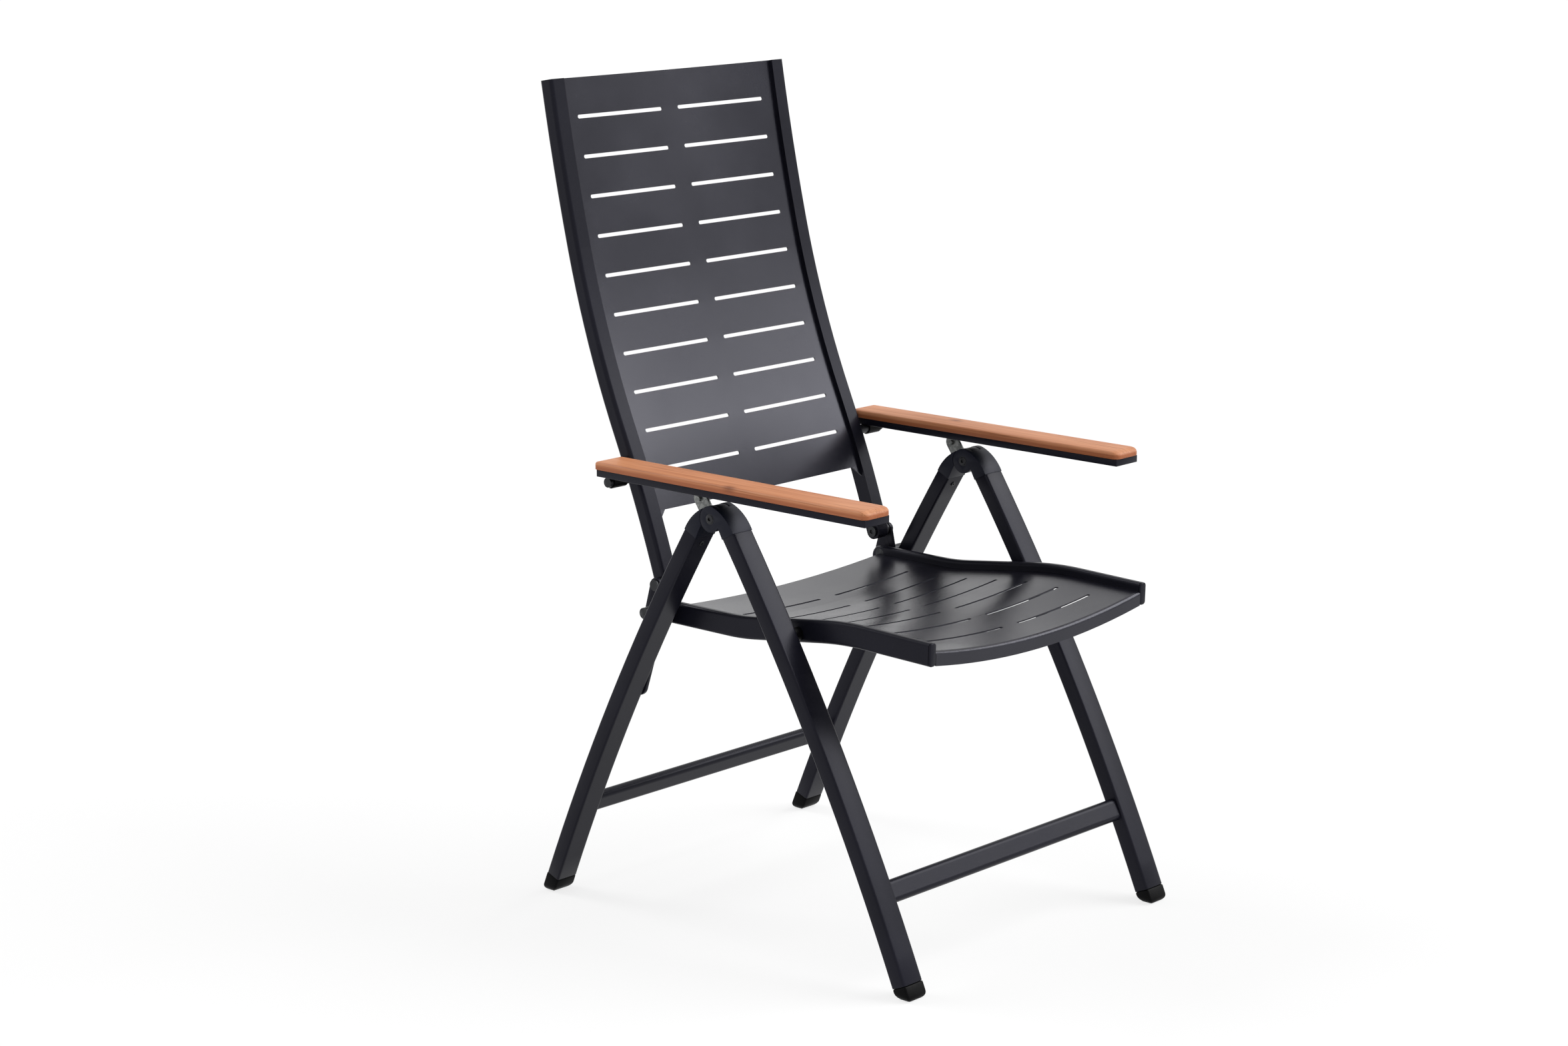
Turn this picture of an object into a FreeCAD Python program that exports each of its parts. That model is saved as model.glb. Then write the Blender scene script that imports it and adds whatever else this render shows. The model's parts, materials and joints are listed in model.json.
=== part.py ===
import FreeCAD, Part
import math
import os
import Sketcher

# Folding garden chair with a reclining high back, slotted sheet panels and wooden armrests.
# Frame: the sitter looks along -Y, +Z is up, the feet stand on z = 0 and x = 0 halves the chair.
# The right hand side is -X. Lengths are millimetres and angles are degrees.

SIZES = [
    ("leg_inner_x", 235, "inner face of the legs"),
    ("leg_width", 36, "leg tube across the chair"),
    ("leg_depth", 21.5, "leg tube front to back"),
    ("leg_wall", 2.5, "leg tube wall"),
    ("leg_edge", 2.5, "rounding of the leg tube edges"),
    ("knuckle_y", -4.381, "fold axis behind the middle of the chair"),
    ("knuckle_z", 566, "height of the fold axis"),
    ("front_lean", 28.5, "front leg from the vertical"),
    ("front_offset", 18.5, "front leg centre line ahead of the fold axis"),
    ("front_bow", 13, "bow of the front leg ahead of its chord"),
    ("front_top", 31, "front leg start below the fold axis, along the leg"),
    ("front_reach", 19.1, "foot below the front leg tube, along the leg"),
    ("front_rail_along", 520, "front cross rail below the fold axis, along the leg"),
    ("rear_lean", 27, "rear leg from the vertical"),
    ("rear_offset", 20.5, "rear leg centre line behind the fold axis"),
    ("rear_bow", 11.5, "bow of the rear leg behind its chord"),
    ("rear_top", 37, "rear leg start below the fold axis, along the leg"),
    ("rear_reach", 26.7, "foot below the rear leg tube, along the leg"),
    ("rear_rail_along", 501, "rear cross rail below the fold axis, along the leg"),
    ("cross_rail_height", 30, "cross rail along the leg"),
    ("cross_rail_depth", 14, "cross rail front to back"),
    ("cross_rail_edge", 6.5, "rounding of the cross rail edges"),
    ("foot_lip", 0.8, "foot cap beyond the leg tube all round"),
    ("cheek_radius", 17, "clevis cheek round the fold axis"),
    ("cheek_thick", 8.5, "clevis cheek thickness"),
    ("cheek_gap", 0.8, "clearance round a cheek"),
    ("tongue_gap", 0.5, "clearance beside and round the tongue"),
    ("bolt_radius", 4, "knuckle bolt and link pin shank"),
    ("bolt_head_radius", 6.8, "knuckle bolt head"),
    ("bolt_head_deep", 2.5, "counterbore for the knuckle bolt head"),
    ("socket_radius", 3, "driver socket in the bolt heads"),
    ("socket_deep", 1.8, "depth of the driver sockets"),
    ("pin_fit", 0.05, "radial running clearance of the pivots"),
    ("plate_inner_x", 251, "inner face of the prop plate"),
    ("plate_thick", 4, "prop plate thickness"),
    ("plate_width", 22, "prop plate width"),
    ("plate_lean", 35, "prop plate from the vertical"),
    ("plate_length", 24, "prop plate below its pin"),
    ("plate_pin_y", 32, "prop pin behind the fold axis"),
    ("plate_pin_z", 20, "prop pin above the fold axis"),
    ("plate_pin_radius", 3, "prop pin"),
    ("plate_pin_half", 6, "half of the prop pin length"),
    ("link_inner_x", 229, "inner face of the link plates"),
    ("link_thick", 5, "link plate thickness"),
    ("link_foot_radius", 14.5, "link plate round its foot"),
    ("link_back_radius", 9.5, "link plate round the back pivot"),
    ("link_mid_radius", 11, "link plate round the seat bolt"),
    ("link_foot_y", 168, "link pivot on the rear leg"),
    ("link_foot_z", -255, "link pivot above the fold axis"),
    ("seat_bolt_y", 128.5, "seat bolt in the link plate"),
    ("seat_bolt_z", -146.3, "seat bolt above the fold axis"),
    ("back_bolt_y", 134, "back pivot in the link plate"),
    ("back_bolt_z", -114, "back pivot above the fold axis"),
    ("collar_radius", 8.5, "collars that space the pivots"),
    ("collar_gap", 0.3, "running gap beside a collar"),
    ("pivot_radius", 4.5, "seat bolt, back pivot and arm bar shanks"),
    ("head_radius", 7.5, "pivot heads"),
    ("head_thick", 2.8, "pivot head thickness"),
    ("stop_radius", 7.5, "stop boss behind the rear leg"),
    ("stop_end_x", 262, "outer end of the stop boss"),
    ("rail_inner_x", 210, "inner face of the seat rails"),
    ("rail_width", 12, "seat rail across the chair"),
    ("rail_height", 30, "seat rail height"),
    ("rail_edge", 4.5, "rounding of the seat rail edges"),
    ("rail_start_y", 128.5, "centre of the rounded rear end of the rail"),
    ("rail_start_z", -150.5, "rail's rear centre line above the fold axis"),
    ("rail_flat", 112, "level rear run of the rail"),
    ("rail_bend", 45, "run that bends up to the slope"),
    ("rail_slope", 7.5, "slope of the rail's middle run"),
    ("rail_rise", 115, "sloping run"),
    ("rail_crown", 75, "run that bends back down"),
    ("rail_droop", 1.5, "fall of the front run"),
    ("rail_nose", 108, "front run"),
    ("rail_cap", 3, "plug in the front end of the rail"),
    ("bush_y", -107.5, "seat bush beside the front leg"),
    ("bush_z", -140.7, "seat bush above the fold axis"),
    ("bush_radius", 9, "seat bush"),
    ("panel_thick", 2, "slotted sheet"),
    ("slot_width", 5, "slots across their length"),
    ("slot_inner", 15, "inner end of each slot from the middle"),
    ("seat_edge_lift", 4, "seat sheet above the rail's centre line"),
    ("seat_sag_rear", 9, "sag of the seat sheet at the back"),
    ("seat_sag_front", 17, "sag of the seat sheet at the front"),
    ("seat_slot_outer", 167, "outer end of the seat slots"),
    ("seat_slot_first", 89, "first seat slot from the rail's rear"),
    ("seat_slot_pitch", 52.4, "seat slot spacing"),
    ("seat_rows", 7, "rows of seat slots"),
    ("apron_radius", 5, "bend at the seat's front edge"),
    ("apron_drop", 14, "apron below its bend"),
    ("stile_inner_x", 202, "inner face of the back stiles"),
    ("stile_width", 24, "stile across the chair"),
    ("stile_depth", 22, "stile front to back"),
    ("stile_round", 5, "rounding of the stile's outer edges"),
    ("back_lean_low", 18, "stile lean at its foot"),
    ("back_lean_mid", 24.5, "stile lean where it bends most"),
    ("back_lean_high", 14, "stile lean higher up"),
    ("back_lean_top", 10, "stile lean at the top"),
    ("back_low", 201, "stile run below the bend"),
    ("back_mid", 254, "stile run across the bend"),
    ("back_high", 222, "stile run to the cap"),
    ("back_cap", 3, "plug on top of the stile"),
    ("back_sheet_front", 5.5, "back sheet ahead of the stile's centre line"),
    ("back_sheet_start", 94, "back sheet's lower edge along the stile"),
    ("back_dish", 1.5, "least dish of the back sheet"),
    ("back_dish_ends", 8, "added dish at its ends"),
    ("back_slot_outer", 180, "outer end of the back slots"),
    ("back_slot_first", 52, "top back slot below the sheet's top"),
    ("back_slot_pitch", 53.3, "back slot spacing"),
    ("back_rows", 10, "rows of back slots"),
    ("gusset_size", 14, "corner gusset under the back sheet"),
    ("arm_inner_x", 229, "inner edge of the armrest"),
    ("arm_width", 50, "armrest width"),
    ("arm_tail", 17, "armrest behind the arm bar"),
    ("arm_length", 468, "armrest length"),
    ("arm_wood_z", 38.5, "underside of the wood above the fold axis"),
    ("arm_wood", 10.5, "wood thickness"),
    ("arm_corner", 8, "front corners of the wood in plan"),
    ("arm_round", 3, "rounded top edges of the wood"),
    ("channel_inset", 2, "channel inside the wood's edge"),
    ("channel_height", 9.5, "channel height"),
    ("channel_wall", 3, "channel wall"),
    ("rack_width", 12, "notched rack in the channel"),
    ("rack_gap", 0.5, "prop plate below the rack at rest"),
    ("rack_notch", 1.6, "radius of the rack's notches"),
    ("rack_start", 110, "rear end of the rack ahead of the arm bar"),
    ("rack_pitch", 24, "notch spacing"),
    ("rack_notches", 8, "notches in the rack"),
    ("bar_y", 183, "arm bar behind the fold axis"),
    ("bar_z", 22, "arm bar above the fold axis"),
    ("bar_radius", 6.5, "arm bar"),
    ("bar_end_x", 272, "outer end of the arm bar"),
    ("bearing_length", 17, "arm bearing lug front to back"),
    ("bearing_inset", 8, "arm bearing lug inside the channel's wall"),
]

doc = FreeCAD.newDocument("folding_garden_chair")
sheet = doc.addObject("Spreadsheet::Sheet", "Dims")
for row, (alias, value, note) in enumerate(SIZES, 1):
    sheet.set(f"A{row}", note)
    sheet.set(f"B{row}", str(value))
    sheet.setAlias(f"B{row}", alias)
doc.recompute()

SIDES = (("left", 1), ("right", -1))
ALONG_X = FreeCAD.Rotation(FreeCAD.Vector(0, 1, 0), 90)
TINY = 1e-6
SLACK = 0.01
nodes = []


def size(alias):
    return float(sheet.get(alias))


def behind(alias):
    # A distance behind the fold axis, in the frame of the chair.
    return size("knuckle_y") + size(alias)


def above(alias):
    # A height above the fold axis, in the frame of the chair.
    return size("knuckle_z") + size(alias)


def vec(x, y, z):
    return FreeCAD.Vector(x, y, z)


def bind(obj, **expressions):
    for prop, expression in expressions.items():
        obj.setExpression(prop, expression)


def keep(obj, label):
    obj.Label = label
    nodes.append(obj)
    return obj


# Basic solids

def box(name, length, width, height, place):
    made = doc.addObject("Part::Box", name)
    bind(made, Length=length, Width=width, Height=height)
    made.Placement = place
    return made


def rod(name, radius, start, end, pivot, side):
    # A cylinder along X on a named pivot, between two distances from the middle plane.
    made = doc.addObject("Part::Cylinder", name)
    bind(made, Radius=radius, Height=f"({end}) - ({start})")
    made.Placement = FreeCAD.Placement(vec(0, 0, 0), ALONG_X)
    made.setExpression("Placement.Base.x", start if side > 0 else f"-({end})")
    for axis in "yz":
        place = f"Dims.knuckle_{axis}"
        if pivot != "knuckle":
            place += f" + Dims.{pivot}_{axis}"
        made.setExpression(f"Placement.Base.{axis}", place)
    return made


def fused(name, pieces):
    made = doc.addObject("Part::MultiFuse", name)
    made.Shapes = pieces
    made.Refine = True
    return made


def cut(name, base, tool):
    made = doc.addObject("Part::Cut", name)
    made.Base = base
    made.Tool = tool
    return made


def turned(name, pivot, side, steps):
    # A stepped round piece along X, each step a start, an end and a radius.
    rods = []
    for index, (start, end, radius) in enumerate(steps):
        rods.append(rod(f"{name}_step{index}", radius, start, end, pivot, side))
    return fused(name, rods)


def feature(label, shape, place=None):
    made = doc.addObject("Part::Feature", label)
    made.Shape = shape
    made.Placement = place or FreeCAD.Placement()
    return keep(made, label)


def hole(radius, start, end, y, z):
    low = min(start, end)
    return Part.makeCylinder(radius, abs(end - start), vec(low, y, z), vec(1, 0, 0))


def span(inner, width, side):
    # Lower X end of a piece that starts at a distance from the middle plane.
    return inner if side > 0 else -inner - width


# Outlines in the side view

def edge(x, start, middle, end):
    points = [vec(x, *point) for point in (start, middle, end)]
    if abs((points[1] - points[0]).cross(points[2] - points[0]).Length) < TINY:
        return Part.LineSegment(points[0], points[2]).toShape()
    return Part.Arc(*points).toShape()


def walk(start, heading, runs):
    # Stations at the start, middle and end of each run of a chain of lines and tangent arcs.
    stations = [(start, heading)]
    for length, turn in runs:
        for _ in range(2):
            (y, z), angle = stations[-1]
            half = math.radians(turn) / 2
            chord = length / 2
            if turn:
                chord = 2 * (length / 2 / half) * math.sin(half / 2)
            aim = math.radians(angle) + half / 2
            stations.append(((y + chord * math.cos(aim), z + chord * math.sin(aim)), angle + turn / 2))
    return stations


def beside(station, offset):
    # A point to the left of a station, seen along its heading.
    (y, z), angle = station
    return y - offset * math.sin(math.radians(angle)), z + offset * math.cos(math.radians(angle))


def part_way(start, heading, runs, distance):
    # The station at a distance along a chain of runs.
    shortened = []
    for length, turn in runs:
        step = min(length, distance)
        if step > 0:
            shortened.append((step, turn * step / length))
        distance -= step
    return walk(start, heading, shortened)[-1]


def strip(x, width, stations, depth, round_start):
    # A bar of constant depth about a chain of runs, square at its end.
    left = [beside(station, depth / 2) for station in stations]
    right = [beside(station, -depth / 2) for station in stations]
    edges = []
    for index in range(0, len(stations) - 2, 2):
        edges.append(edge(x, *left[index:index + 3]))
        edges.append(edge(x, *right[index:index + 3]))
    edges.append(Part.LineSegment(vec(x, *left[-1]), vec(x, *right[-1])).toShape())
    (y, z), angle = stations[0]
    tail = (y - depth / 2 * math.cos(math.radians(angle)), z - depth / 2 * math.sin(math.radians(angle)))
    middle = tail if round_start else (y, z)
    edges.append(edge(x, left[0], middle, right[0]))
    wire = Part.Wire(Part.__sortEdges__(edges))
    return Part.Face(wire).extrude(vec(width, 0, 0))


def belt(x, width, circles):
    # The outline that a belt takes round circles listed counterclockwise.
    normals = []
    count = len(circles)
    for index in range(count):
        y1, z1, r1 = circles[index]
        y2, z2, r2 = circles[(index + 1) % count]
        gap = math.hypot(y2 - y1, z2 - z1)
        normals.append(math.atan2(z2 - z1, y2 - y1) - math.acos((r1 - r2) / gap))
    edges = []
    for index in range(count):
        y, z, r = circles[index]
        first, last = normals[index - 1], normals[index]
        while last < first:
            last += 2 * math.pi
        on_arc = []
        for angle in (first, (first + last) / 2, last):
            on_arc.append((y + r * math.cos(angle), z + r * math.sin(angle)))
        edges.append(edge(x, *on_arc))
        y2, z2, r2 = circles[(index + 1) % count]
        landing = (y2 + r2 * math.cos(last), z2 + r2 * math.sin(last))
        edges.append(Part.LineSegment(vec(x, *on_arc[-1]), vec(x, *landing)).toShape())
    wire = Part.Wire(Part.__sortEdges__(edges))
    return Part.Face(wire).extrude(vec(width, 0, 0))


def rounded_edges(shape, radius, wanted):
    return shape.makeFillet(radius, [item for item in shape.Edges if wanted(item)])


def along_piece(item):
    # True for an edge that runs mainly in the side view, not across the chair.
    box_of = item.BoundBox
    return box_of.XLength < SLACK and max(box_of.YLength, box_of.ZLength) > size("leg_width")


# Legs, feet, cross rails and knuckles of the two frames

def leg_place(lean):
    axis = vec(0, size("knuckle_y"), size("knuckle_z"))
    return FreeCAD.Placement(axis, FreeCAD.Rotation(vec(1, 0, 0), lean))


FRAMES = (("front", -1), ("rear", 1))


def frame_place(frame, way):
    return leg_place(way * size(f"{frame}_lean"))


def leg_length(frame):
    # From the knuckle to the foot cap, which takes up the rest of the way to the floor.
    lean = math.radians(size(f"{frame}_lean"))
    floor = (size("knuckle_z") + size(f"{frame}_offset") * math.sin(lean)) / math.cos(lean)
    return floor - size(f"{frame}_top") - size(f"{frame}_reach")


def middle_at(frame, way, along):
    # Local Y of the bowed centre line, at a distance down the leg from the fold axis.
    share = 2 * (along - size(f"{frame}_top")) / leg_length(frame) - 1
    return way * (size(f"{frame}_offset") + size(f"{frame}_bow") * (1 - share ** 2))


def end_turn(frame, way):
    # Angle of the leg's lower end to its chord.
    return -way * 2 * math.atan(2 * size(f"{frame}_bow") / leg_length(frame))


def leg_bar(frame, way, x, width, depth):
    # A bowed bar from the knuckle to the foot cap, square at both ends.
    top, length = size(f"{frame}_top"), leg_length(frame)
    turn = end_turn(frame, way)
    faces = []
    for half in (-depth / 2, depth / 2):
        points = []
        for along in (top, top + length / 2):
            points.append((middle_at(frame, way, along) + half, -along))
        points.append((middle_at(frame, way, top + length) + half * math.cos(turn),
                       half * math.sin(turn) - top - length))
        faces.append(points)
    edges = [edge(x, *points) for points in faces]
    for first, second in zip(faces[0][::2], faces[1][::2]):
        edges.append(Part.LineSegment(vec(x, *first), vec(x, *second)).toShape())
    wire = Part.Wire(Part.__sortEdges__(edges))
    return Part.Face(wire).extrude(vec(width, 0, 0))


def leg_tube(frame, way, side_name, side):
    label = f"{frame}_leg_{side_name}"
    width, depth, wall = size("leg_width"), size("leg_depth"), size("leg_wall")
    x = span(size("leg_inner_x"), width, side)
    outer = leg_bar(frame, way, x, width, depth)
    outer = rounded_edges(outer, size("leg_edge"), lambda item: item.BoundBox.ZLength > depth * 2)
    tube = outer.cut(leg_bar(frame, way, x + wall, width - 2 * wall, depth - 2 * wall))
    if frame == "rear":
        local = frame_place(frame, way).inverse().multVec(vec(0, behind("link_foot_y"), above("link_foot_z")))
        inner = side * size("leg_inner_x")
        tube = tube.cut(hole(size("bolt_radius") + size("pin_fit"), inner, inner + side * 2 * wall,
                             local.y, local.z))
    return feature(label, tube, frame_place(frame, way))


def foot_cap(frame, way, side_name, side):
    # A plastic cap in line with the end of the tube, cut level at the floor.
    width = size("leg_width") + 2 * size("foot_lip")
    depth = size("leg_depth") + 2 * size("foot_lip")
    x = span(size("leg_inner_x") - size("foot_lip"), width, side)
    reach, length = size("knuckle_z"), leg_length(frame)
    block = Part.makeBox(width, depth, reach, vec(x, -depth / 2, -reach))
    block = rounded_edges(block, size("leg_edge"), lambda item: item.BoundBox.ZLength > depth * 2)
    tip = vec(0, way * size(f"{frame}_offset"), -size(f"{frame}_top") - length)
    end = FreeCAD.Placement(tip, FreeCAD.Rotation(vec(1, 0, 0), math.degrees(end_turn(frame, way))))
    block.Placement = frame_place(frame, way).multiply(end)
    floor = Part.makeBox(4 * reach, 4 * reach, 2 * reach, vec(-2 * reach, -2 * reach, -2 * reach))
    return feature(f"{frame}_foot_{side_name}", block.cut(floor))


def cross_rail(frame, way):
    label = f"{frame}_cross_rail"
    depth, height = size("cross_rail_depth"), size("cross_rail_height")
    body = doc.addObject("PartDesign::Body", f"{label}_body")
    sketch = body.newObject("Sketcher::SketchObject", f"{label}_section")
    plane = [item for item in body.Origin.OriginFeatures if item.Role == "YZ_Plane"][0]
    sketch.AttachmentSupport = (plane, [""])
    sketch.MapMode = "FlatFace"
    rectangle(sketch, depth, height, "Dims.cross_rail_depth", "Dims.cross_rail_height")
    pad = body.newObject("PartDesign::Pad", f"{label}_pad")
    pad.Profile = sketch
    pad.Midplane = True
    pad.setExpression("Length", "2 * Dims.leg_inner_x")
    doc.recompute()
    names = []
    for index, item in enumerate(pad.Shape.Edges, 1):
        if item.BoundBox.XLength > height:
            names.append(f"Edge{index}")
    rounding = body.newObject("PartDesign::Fillet", f"{label}_rounding")
    rounding.Base = (pad, names)
    rounding.setExpression("Radius", "Dims.cross_rail_edge")
    body.Tip = rounding
    along = size(f"{frame}_rail_along")
    middle = vec(0, middle_at(frame, way, along), -along)
    body.Placement = frame_place(frame, way).multiply(FreeCAD.Placement(middle, FreeCAD.Rotation()))
    return keep(body, label)


def rectangle(sketch, width, height, width_from, height_from):
    # A rectangle centred on the sketch's origin.
    corners = [vec(-width / 2, -height / 2, 0), vec(width / 2, -height / 2, 0),
               vec(width / 2, height / 2, 0), vec(-width / 2, height / 2, 0)]
    for index in range(4):
        sketch.addGeometry(Part.LineSegment(corners[index], corners[(index + 1) % 4]), False)
    for index in range(4):
        sketch.addConstraint(Sketcher.Constraint("Coincident", index, 2, (index + 1) % 4, 1))
    for index in (0, 2):
        sketch.addConstraint(Sketcher.Constraint("Horizontal", index))
        sketch.addConstraint(Sketcher.Constraint("Vertical", index + 1))
    sketch.addConstraint(Sketcher.Constraint("Symmetric", 0, 1, 1, 2, -1, 1))
    sketch.addConstraint(Sketcher.Constraint("DistanceX", 0, 1, 0, 2, width))
    sketch.renameConstraint(sketch.ConstraintCount - 1, "wide")
    sketch.addConstraint(Sketcher.Constraint("DistanceY", 1, 1, 1, 2, height))
    sketch.renameConstraint(sketch.ConstraintCount - 1, "high")
    sketch.setExpression("Constraints.wide", width_from)
    sketch.setExpression("Constraints.high", height_from)


def knuckle_outline(frame, way, x, width, radius):
    # A disc round the fold axis that runs on into the leg, with a shoulder arc tangent to both.
    near = size(f"{frame}_offset") - size("leg_depth") / 2
    far = size(f"{frame}_offset") + size("leg_depth") / 2
    top = size(f"{frame}_top")
    shoulder = (far ** 2 + top ** 2 - radius ** 2) / (2 * (far - radius))
    centre = (far - shoulder, top)
    touch_angle = math.atan2(-centre[1], -centre[0])
    crotch_angle = math.atan2(math.sqrt(radius ** 2 - near ** 2), near) - 2 * math.pi

    def at(angle, middle, reach):
        return middle[0] + reach * math.cos(angle), middle[1] + reach * math.sin(angle)

    crotch = at(crotch_angle, (0, 0), radius)
    corners = [
        ((far, top), at(touch_angle / 2, centre, shoulder), at(touch_angle, (0, 0), radius)),
        (at(touch_angle, (0, 0), radius), at((touch_angle + crotch_angle) / 2, (0, 0), radius),
         crotch),
        (crotch, (near, (crotch[1] + top) / 2), (near, top)),
        ((near, top), ((near + far) / 2, top), (far, top)),
    ]
    edges = []
    for points in corners:
        edges.append(edge(x, *[(way * across, -along) for across, along in points]))
    wire = Part.Wire(Part.__sortEdges__(edges))
    return Part.Face(wire).extrude(vec(width, 0, 0))


def front_knuckle(side_name, side):
    # A clevis of two cheeks with a pocket between them for the tongue.
    width, thick = size("leg_width"), size("cheek_thick")
    x = span(size("leg_inner_x"), width, side)
    solid = knuckle_outline("front", -1, x, width, size("cheek_radius"))
    pocket = size("cheek_radius") + size("tongue_gap")
    solid = solid.cut(hole(pocket, x + thick, x + width - thick, 0, 0))
    solid = solid.cut(hole(size("bolt_radius") + size("pin_fit"), x, x + width, 0, 0))
    recess = size("bolt_head_radius") + size("pin_fit")
    solid = solid.cut(hole(recess, x, x + size("bolt_head_deep"), 0, 0))
    solid = solid.cut(hole(recess, x + width - size("bolt_head_deep"), x + width, 0, 0))
    return feature(f"front_knuckle_{side_name}", solid, frame_place("front", -1))


def prop_plate(side_name, side):
    # The galvanised plate that stands on the rear knuckle and carries the armrest.
    width, thick = size("plate_width"), size("plate_thick")
    x = span(size("plate_inner_x"), thick, side)
    flat = Part.makeBox(thick, width, size("plate_length"), vec(x, -width / 2, -size("plate_length")))
    plate = flat.fuse(hole(width / 2, x, x + thick, 0, 0)).removeSplitter()
    plate = plate.cut(hole(size("plate_pin_radius"), x, x + thick, 0, 0))
    place = FreeCAD.Placement(vec(0, behind("plate_pin_y"), above("plate_pin_z")),
                              FreeCAD.Rotation(vec(1, 0, 0), -size("plate_lean")))
    return feature(f"prop_plate_{side_name}", plate, place)


def rear_knuckle(side_name, side, plate):
    # A tongue between the cheeks, with a shoulder behind them and a seat for the prop plate.
    width, thick = size("leg_width"), size("cheek_thick") + size("tongue_gap")
    x = span(size("leg_inner_x"), width, side)
    radius = size("cheek_radius") - size("tongue_gap")
    shoulder = knuckle_outline("rear", 1, x, width, radius)
    shoulder = shoulder.cut(hole(size("cheek_radius") + size("cheek_gap"), x, x + width, 0, 0))
    tongue = knuckle_outline("rear", 1, x + thick, width - 2 * thick, radius)
    solid = shoulder.fuse(tongue).removeSplitter()
    solid = solid.cut(hole(size("bolt_radius") + size("pin_fit"), x, x + width, 0, 0))
    place = frame_place("rear", 1)
    seat = plate.Shape.copy()
    seat.Placement = place.inverse().multiply(plate.Placement)
    return feature(f"rear_knuckle_{side_name}", solid.cut(seat), place)


def knuckle_bolt(side_name, side):
    outer = "Dims.leg_inner_x + Dims.leg_width"
    steps = [
        ("Dims.leg_inner_x", outer, "Dims.bolt_radius"),
        ("Dims.leg_inner_x", "Dims.leg_inner_x + Dims.bolt_head_deep", "Dims.bolt_head_radius"),
        (f"{outer} - Dims.bolt_head_deep", outer, "Dims.bolt_head_radius"),
    ]
    shank = turned(f"knuckle_bolt_{side_name}_turned", "knuckle", side, steps)
    sockets = turned(f"knuckle_bolt_{side_name}_sockets", "knuckle", side, [
        ("Dims.leg_inner_x", "Dims.leg_inner_x + Dims.socket_deep", "Dims.socket_radius"),
        (f"{outer} - Dims.socket_deep", outer, "Dims.socket_radius"),
    ])
    return keep(cut(f"knuckle_bolt_{side_name}", shank, sockets), f"knuckle_bolt_{side_name}")


def prop_pin(side_name, side):
    middle = "Dims.plate_inner_x + Dims.plate_thick / 2"
    pin = rod(f"prop_pin_{side_name}", "Dims.plate_pin_radius", f"{middle} - Dims.plate_pin_half",
              f"{middle} + Dims.plate_pin_half", "plate_pin", side)
    return keep(pin, f"prop_pin_{side_name}")


# Links between the rear legs, the seat and the back

LINK_OUTER = "Dims.link_inner_x + Dims.link_thick"


def link_plate(side_name, side):
    x = span(size("link_inner_x"), size("link_thick"), side)
    foot = (behind("link_foot_y"), above("link_foot_z"))
    seat = (behind("seat_bolt_y"), above("seat_bolt_z"))
    back = (behind("back_bolt_y"), above("back_bolt_z"))
    solid = belt(x, size("link_thick"), [foot + (size("link_foot_radius"),), back + (size("link_back_radius"),),
                                         seat + (size("link_mid_radius"),)])
    fit = size("pin_fit")
    for place, radius in ((foot, size("bolt_radius")), (seat, size("pivot_radius")),
                          (back, size("pivot_radius"))):
        solid = solid.cut(hole(radius + fit, x, x + size("link_thick"), *place))
    return feature(f"link_plate_{side_name}", solid)


def link_pin(side_name, side):
    # A shouldered pin from the rear leg through the link plate.
    steps = [
        ("Dims.link_inner_x - Dims.collar_gap - Dims.head_thick", "Dims.leg_inner_x + Dims.leg_wall",
         "Dims.bolt_radius"),
        ("Dims.link_inner_x - Dims.collar_gap - Dims.head_thick", "Dims.link_inner_x - Dims.collar_gap",
         "Dims.head_radius"),
        (f"{LINK_OUTER} + Dims.collar_gap", "Dims.leg_inner_x", "Dims.collar_radius"),
    ]
    pin = turned(f"link_pin_{side_name}", "link_foot", side, steps)
    return keep(pin, f"link_pin_{side_name}")


def seat_bolt(side_name, side):
    # Carries the seat in the link plate and ends in the stop boss behind the rear leg.
    rail_outer = "Dims.rail_inner_x + Dims.rail_width"
    steps = [
        ("Dims.rail_inner_x", "Dims.stop_end_x", "Dims.pivot_radius"),
        ("Dims.rail_inner_x", "Dims.rail_inner_x + Dims.head_thick", "Dims.head_radius"),
        (rail_outer, "Dims.link_inner_x - Dims.collar_gap", "Dims.collar_radius"),
        (f"{LINK_OUTER} + Dims.collar_gap", "Dims.stop_end_x", "Dims.stop_radius"),
    ]
    bolt = turned(f"seat_bolt_{side_name}", "seat_bolt", side, steps)
    return keep(bolt, f"seat_bolt_{side_name}")


def back_bolt(side_name, side):
    stile_outer = "Dims.stile_inner_x + Dims.stile_width"
    steps = [
        ("Dims.stile_inner_x - Dims.collar_gap - Dims.head_thick",
         f"{LINK_OUTER} + Dims.collar_gap + Dims.head_thick", "Dims.pivot_radius"),
        ("Dims.stile_inner_x - Dims.collar_gap - Dims.head_thick",
         "Dims.stile_inner_x - Dims.collar_gap", "Dims.head_radius"),
        (f"{stile_outer} + Dims.collar_gap", "Dims.link_inner_x - Dims.collar_gap", "Dims.collar_radius"),
        (f"{LINK_OUTER} + Dims.collar_gap", f"{LINK_OUTER} + Dims.collar_gap + Dims.head_thick",
         "Dims.head_radius"),
    ]
    shank = turned(f"back_bolt_{side_name}_turned", "back_bolt", side, steps)
    socket = rod(f"back_bolt_{side_name}_socket", "Dims.socket_radius",
                 "Dims.stile_inner_x - Dims.collar_gap - Dims.head_thick",
                 "Dims.stile_inner_x - Dims.collar_gap - Dims.head_thick + Dims.socket_deep",
                 "back_bolt", side)
    return keep(cut(f"back_bolt_{side_name}", shank, socket), f"back_bolt_{side_name}")


# Slotted sheets

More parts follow.
